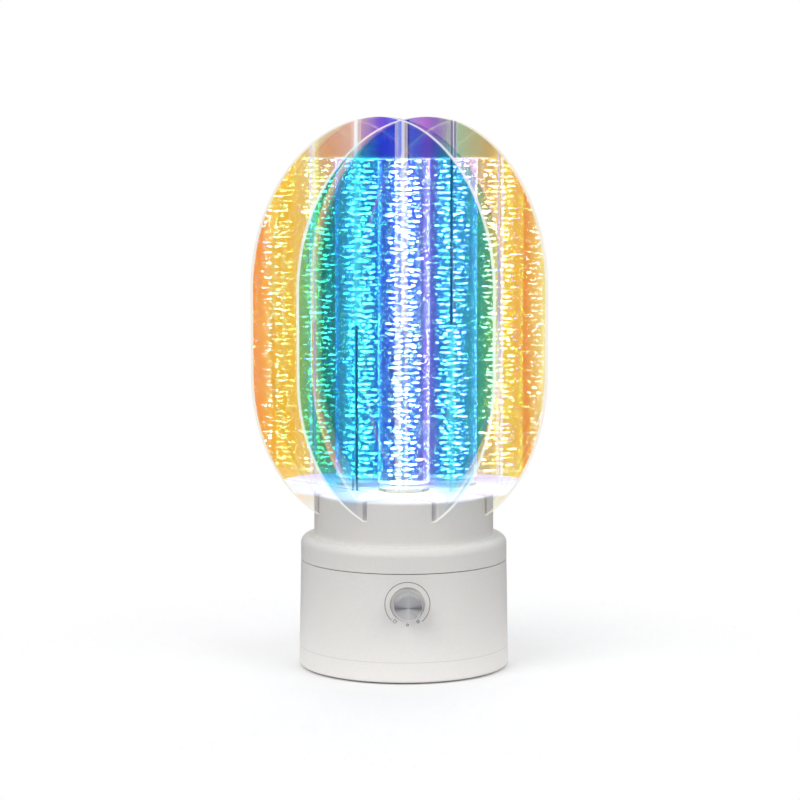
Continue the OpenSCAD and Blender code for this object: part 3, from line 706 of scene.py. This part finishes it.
rod = lathe("rod_look", rod_profile(), [rod_glass, rod_rim_glow, rod_top_glow])
for face in rod.data.polygons:
    if RIM_FROM < abs(face.normal.z) < END_FROM:
        face.material_index = RIM_FACE
    elif face.normal.z > END_FROM:
        face.material_index = TOP_FACE
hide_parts("bubble_rod")
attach(rod, "lamp")

BUBBLE_SEED = 7
BUBBLE_ROW = 2.6 * MM
ROW_BUBBLES = 5
ROW_TURN = 0.7
BUBBLE_REACH = 6.3 * MM
# Half widths and half heights of the bubbles in millimetres, and their depth against their width
BIG_WIDE, BIG_TALL = (0.8, 1.4), (0.3, 0.5)
SMALL_WIDE, SMALL_TALL = (0.4, 0.8), (0.2, 0.35)
SMALL_EVERY = 4
DEPTH_SHARE = (0.5, 0.9)
# How much of a bubble's width stays inside the reach, and how near to the axis it may lie
KEPT_IN = 0.7
INNER_SHARE = 0.1
TURN_JITTER, ROW_JITTER, TILT = 0.6, 0.25, 0.12
BALL_TURNS, BALL_ROWS = 10, 5


def unit_ball():
    """Vertices and faces of a coarse ball."""
    points = [Vector((0, 0, -1))]
    for row in range(1, BALL_ROWS + 1):
        tilt = math.pi * row / (BALL_ROWS + 1)
        for i in range(BALL_TURNS):
            a = 2 * math.pi * i / BALL_TURNS
            x, y = math.sin(tilt) * math.cos(a), math.sin(tilt) * math.sin(a)
            points.append(Vector((x, y, -math.cos(tilt))))
    points.append(Vector((0, 0, 1)))
    faces = []
    last = len(points) - 1
    for i in range(BALL_TURNS):
        j = (i + 1) % BALL_TURNS
        faces.append((0, 1 + j, 1 + i))
        for row in range(BALL_ROWS - 1):
            low, high = 1 + row * BALL_TURNS, 1 + (row + 1) * BALL_TURNS
            faces.append((low + i, low + j, high + j, high + i))
        top = 1 + (BALL_ROWS - 1) * BALL_TURNS
        faces.append((top + i, top + j, last))
    return points, faces


def make_bubbles():
    """Flat bubbles in rows up the rod, frozen in its glass."""
    rng = random.Random(BUBBLE_SEED)
    ball, ball_faces = unit_ball()
    verts, faces = [], []
    rows = round((ROD_TOP - ROD_FOOT) / BUBBLE_ROW)
    for i in range(rows * ROW_BUBBLES):
        row = i // ROW_BUBBLES
        small = i % SMALL_EVERY == 0
        wide = rng.uniform(*(SMALL_WIDE if small else BIG_WIDE)) * MM
        tall = rng.uniform(*(SMALL_TALL if small else BIG_TALL)) * MM
        deep = wide * rng.uniform(*DEPTH_SHARE)
        r = (BUBBLE_REACH - KEPT_IN * wide) * math.sqrt(rng.uniform(INNER_SHARE, 1))
        a = 2 * math.pi * (i + TURN_JITTER * rng.random()) / ROW_BUBBLES + ROW_TURN * row
        z = ROD_FOOT + BUBBLE_ROW * (row + 0.5 + rng.uniform(-ROW_JITTER, ROW_JITTER))
        place = (Matrix.Translation((r * math.cos(a), r * math.sin(a), z))
                 @ Matrix.Rotation(rng.uniform(0, math.pi), 4, "Z")
                 @ Matrix.Rotation(rng.gauss(0, TILT), 4, "X")
                 @ Matrix.Diagonal((wide, deep, tall, 1)))
        first = len(verts)
        verts += [place @ p for p in ball]
        faces += [tuple(first + k for k in f) for f in ball_faces]
    mesh = bpy.data.meshes.new("rod_bubbles")
    mesh.from_pydata(verts, [], faces)
    mesh.shade_smooth()
    mesh.materials.append(bubble)
    return add_object("rod_bubbles", mesh)


bubbles = make_bubbles()
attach(bubbles, "lamp")


# Print on the base shell

PRINT_LIFT = 0.04 * MM


def shell_point(x, z):
    """Point just in front of the shell's tapered face, at x and z."""
    r = FOOT_R + (SEAM_R - FOOT_R) * (z - FOOT_Z) / (SEAM_Z - FOOT_Z) + PRINT_LIFT
    return Vector((x, -math.sqrt(r * r - x * x), z))


def add_print(name, strips):
    """Ink on the shell's front face: each strip is a list of (x, z) pairs across its width."""
    bm = bmesh.new()
    for strip in strips:
        rows = [[bm.verts.new(shell_point(x, KNOB_Z + z)) for x, z in pair] for pair in strip]
        for (a, b), (c, d) in zip(rows, rows[1:]):
            bm.faces.new((a, b, d, c))
    obj = add_mesh(name, bm, [ink], sharp_deg=180)
    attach(obj, "lamp")


def ring_strip(cx, cz, radius, width, start, end, steps):
    """Pairs of points along an arc. Angles are in degrees, clockwise from straight up."""
    strip = []
    for i in range(steps + 1):
        a = math.radians(start + (end - start) * i / steps)
        radii = (radius - width / 2, radius + width / 2)
        strip.append([(cx + r * math.sin(a), cz + r * math.cos(a)) for r in radii])
    return strip


# The ring round the knob: size, and its ends in degrees
DIAL_R, DIAL_WIDTH = 10.6 * MM, 0.32 * MM
DIAL_START, DIAL_END, DIAL_STEPS = -135, 140, 90
# Small outline marks under the knob: centre, radius and width in millimetres, and corners
MARKS = [
    (-5.9, -7.9, 0.95, 0.35, 4),
    (0, -9.6, 0.5, 0.35, 12),
    (5.0, -8.1, 0.7, 0.5, 4),
]
add_print("dial_ring",
          [ring_strip(0, 0, DIAL_R, DIAL_WIDTH, DIAL_START, DIAL_END, DIAL_STEPS)])
add_print("dial_marks", [ring_strip(x * MM, z * MM, radius * MM, width * MM, 0, 360, corners)
                         for x, z, radius, width, corners in MARKS])


# Stage, light and camera

FLOOR_R = 6
FLOOR_PAINT = 0.93
# Distances from the axis between which the painted floor turns into plain white
FADE_NEAR, FADE_FAR = 55 * MM, 220 * MM
# Strength of the white floor for mirrored and scattered rays
FLOOR_UNSEEN = 0.02


def make_floor():
    """Painted under the lamp, where it keeps the shadow, and plain white further out."""
    mat, nt, out = new_material("floor")
    coords = nt.nodes.new("ShaderNodeTexCoord")
    far = node(nt, "ShaderNodeVectorMath", operation="LENGTH")
    link(nt, coords, "Object", far, 0)
    fade = node(nt, "ShaderNodeMapRange", interpolation_type="SMOOTHSTEP",
                From_Min=FADE_NEAR, From_Max=FADE_FAR)
    link(nt, far, "Value", fade, "Value")
    paint = node(nt, "ShaderNodeBsdfDiffuse", Color=(FLOOR_PAINT, FLOOR_PAINT, FLOOR_PAINT, 1))
    direct = directly_seen(nt, nt.nodes.new("ShaderNodeLightPath"))
    power = node(nt, "ShaderNodeMapRange", To_Min=FLOOR_UNSEEN, To_Max=1.0)
    link(nt, direct, "Value", power, "Value")
    light = node(nt, "ShaderNodeEmission", Color=(1, 1, 1, 1))
    link(nt, power, "Result", light, "Strength")
    mixed = mix_shaders(nt, paint, light)
    link(nt, fade, "Result", mixed, 0)
    link(nt, mixed, "Shader", out, "Surface")
    mat.cycles.emission_sampling = "NONE"
    bm = bmesh.new()
    bmesh.ops.create_circle(bm, cap_ends=True, segments=64, radius=FLOOR_R)
    obj = add_mesh("floor", bm, [mat])


WORLD_COLOUR = (0.98, 0.99, 1.0)
WORLD_LIGHT = 0.72
# Strength for mirrored rays: in a white room the films would mirror their colours away
WORLD_GLOSS = 0.02


def make_world():
    """White where it is seen, soft light on the object, and dim in mirrors."""
    world = bpy.data.worlds.new("studio")
    bpy.context.scene.world = world
    world.use_nodes = True
    nt = world.node_tree
    nt.nodes.clear()
    out = nt.nodes.new("ShaderNodeOutputWorld")
    paths = nt.nodes.new("ShaderNodeLightPath")
    seen = node(nt, "ShaderNodeBackground", Color=(1, 1, 1, 1), Strength=1.0)
    light = node(nt, "ShaderNodeBackground", Color=(*WORLD_COLOUR, 1), Strength=WORLD_LIGHT)
    gloss = node(nt, "ShaderNodeBackground", Color=(1, 1, 1, 1), Strength=WORLD_GLOSS)
    unseen = mix_shaders(nt, light, gloss)
    link(nt, paths, "Is Glossy Ray", unseen, 0)
    every = mix_shaders(nt, unseen, seen)
    link(nt, directly_seen(nt, paths), "Value", every, 0)
    link(nt, every, "Shader", out, "Surface")


# Area lights: name, place, width and height, watts
LIGHTS = [
    ("key", (-0.9, -1.0, 1.0), (0.9, 0.9), 9.5),
    ("fill", (0.9, -0.9, 0.8), (0.9, 0.9), 5),
    ("back", (0.2, 1.0, 1.2), (1.2, 0.8), 4),
]
LIGHT_AIM = (0, 0, 0.1)


def area_light(name, place, size, power):
    data = bpy.data.lights.new(name, "AREA")
    data.shape = "RECTANGLE"
    data.size, data.size_y = size
    data.energy = power
    obj = add_object(name, data)
    obj.location = place
    obj.rotation_euler = (Vector(LIGHT_AIM) - Vector(place)).to_track_quat("-Z", "Y").to_euler()


make_floor()
make_world()
for row in LIGHTS:
    area_light(*row)

LENS, SENSOR = 116.9, 36
CLIP_START = 0.01
CAMERA_PLACE = (-0.0437, -1.2508, 0.2610)
CAMERA_TURN = (math.radians(84), 0, math.radians(-1.917))


def make_camera():
    data = bpy.data.cameras.new("camera")
    data.lens = LENS
    data.sensor_width = SENSOR
    data.clip_start = CLIP_START
    obj = add_object("camera", data)
    obj.location = CAMERA_PLACE
    obj.rotation_euler = CAMERA_TURN
    bpy.context.scene.camera = obj


make_camera()

scene = bpy.context.scene
scene.view_settings.view_transform = "Standard"
# Enough bounces for the rod's images in the films, and a clamp above the bubbles' light
scene.cycles.max_bounces = 24
scene.cycles.sample_clamp_indirect = 60
scene.cycles.glossy_bounces = 12
scene.cycles.transmission_bounces = 16
scene.cycles.transparent_max_bounces = 64
